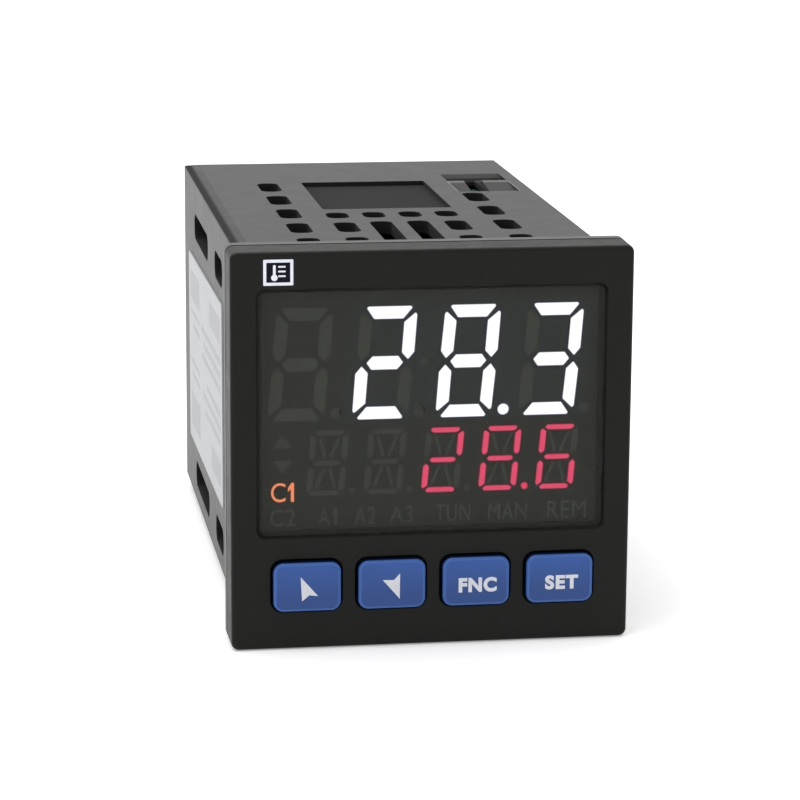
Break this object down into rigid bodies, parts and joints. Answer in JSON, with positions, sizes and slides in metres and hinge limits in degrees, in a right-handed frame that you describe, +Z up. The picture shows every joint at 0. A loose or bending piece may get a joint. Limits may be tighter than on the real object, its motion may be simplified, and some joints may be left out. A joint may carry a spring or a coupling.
{
  "type": "panel-mount temperature controller",
  "caption": "Square panel-mount temperature controller: black frame with smoked display window and blue push keys, slim vented housing, rear plug-in screw terminals.",
  "frame": {"origin": "centre of the panel cut-out, in the plane of the bezel's rear face", "axes": "+Y into the panel along the housing, +X to the right of the face, +Z up; the face looks along -Y"},
  "size_m": [0.048, 0.0884, 0.048],
  "materials": {
    "bezel_black": "black moulded plastic, fine satin grain",
    "case_black": "black moulded plastic, matt grain",
    "smoked_lens": "smoked polycarbonate, polished",
    "badge_print": "white frame over a black plate",
    "key_blue": "blue moulded keys, satin",
    "plunger_black": "plain",
    "switch_body": "plain",
    "silicone_grey": "silicone sheet, matt",
    "light_block": "black face, matt",
    "segment_white": "cast resin that lights white",
    "segment_red": "cast resin that lights red",
    "segment_orange": "cast resin that lights orange",
    "board_green": "green solder mask, semi-gloss",
    "header_black": "plain",
    "ferrite": "sintered ferrite, matt",
    "winding_tape": "yellow polyester tape",
    "capacitor_sleeve": "shrink sleeve",
    "relay_case": "plain",
    "film_capacitor": "epoxy dip",
    "chip_epoxy": "plain",
    "gasket_rubber": "matt",
    "label_film": "white polyester film, semi-matt",
    "contact_tin": "tin plate",
    "terminal_green": "green moulded plastic",
    "screw_zinc": "zinc plate",
    "clamp_metal": "nickel plate"
  },
  "bodies": {
    "instrument": {"front_bezel": "bezel_black", "display_window": "smoked_lens", "front_badge": "badge_print", "key_switches": "switch_body", "keypad_seal": "silicone_grey", "display_reflector": "light_block", "upper_digit_segments": "segment_white", "lower_digit_segments": "segment_red", "legend_segments": "segment_orange", "display_board": "board_green", "power_board": "board_green", "main_board": "board_green", "terminal_board": "board_green", "board_connectors": "header_black", "transformer_core": "ferrite", "transformer_winding": "winding_tape", "bulk_capacitor": "capacitor_sleeve", "output_capacitors": "capacitor_sleeve", "output_relays": "relay_case", "film_capacitors": "film_capacitor", "processor_chip": "chip_epoxy", "case_shell": "case_black", "panel_gasket": "gasket_rubber", "side_label": "label_film", "rear_cover": "case_black", "terminal_sockets": "header_black", "socket_pins": "contact_tin", "terminal_plug_left": "terminal_green", "terminal_plug_centre": "terminal_green", "terminal_plug_right": "terminal_green", "terminal_screws": "screw_zinc", "wire_clamps": "clamp_metal"},
    "up_key": {"key_up": "key_blue", "up_plunger": "plunger_black"},
    "down_key": {"key_down": "key_blue", "down_plunger": "plunger_black"},
    "function_key": {"key_function": "key_blue", "function_plunger": "plunger_black"},
    "set_key": {"key_set": "key_blue", "set_plunger": "plunger_black"}
  },
  "joints": [
    {"name": "up_key_press", "type": "slide", "parent": "instrument", "child": "up_key", "axis": [0, 1, 0], "range_m": [0, 0.0006], "stiffness_N_per_m": 1500, "springref_m": -0.0005},
    {"name": "down_key_press", "type": "slide", "parent": "instrument", "child": "down_key", "axis": [0, 1, 0], "range_m": [0, 0.0006], "stiffness_N_per_m": 1500, "springref_m": -0.0005},
    {"name": "function_key_press", "type": "slide", "parent": "instrument", "child": "function_key", "axis": [0, 1, 0], "range_m": [0, 0.0006], "stiffness_N_per_m": 1500, "springref_m": -0.0005},
    {"name": "set_key_press", "type": "slide", "parent": "instrument", "child": "set_key", "axis": [0, 1, 0], "range_m": [0, 0.0006], "stiffness_N_per_m": 1500, "springref_m": -0.0005}
  ]
}
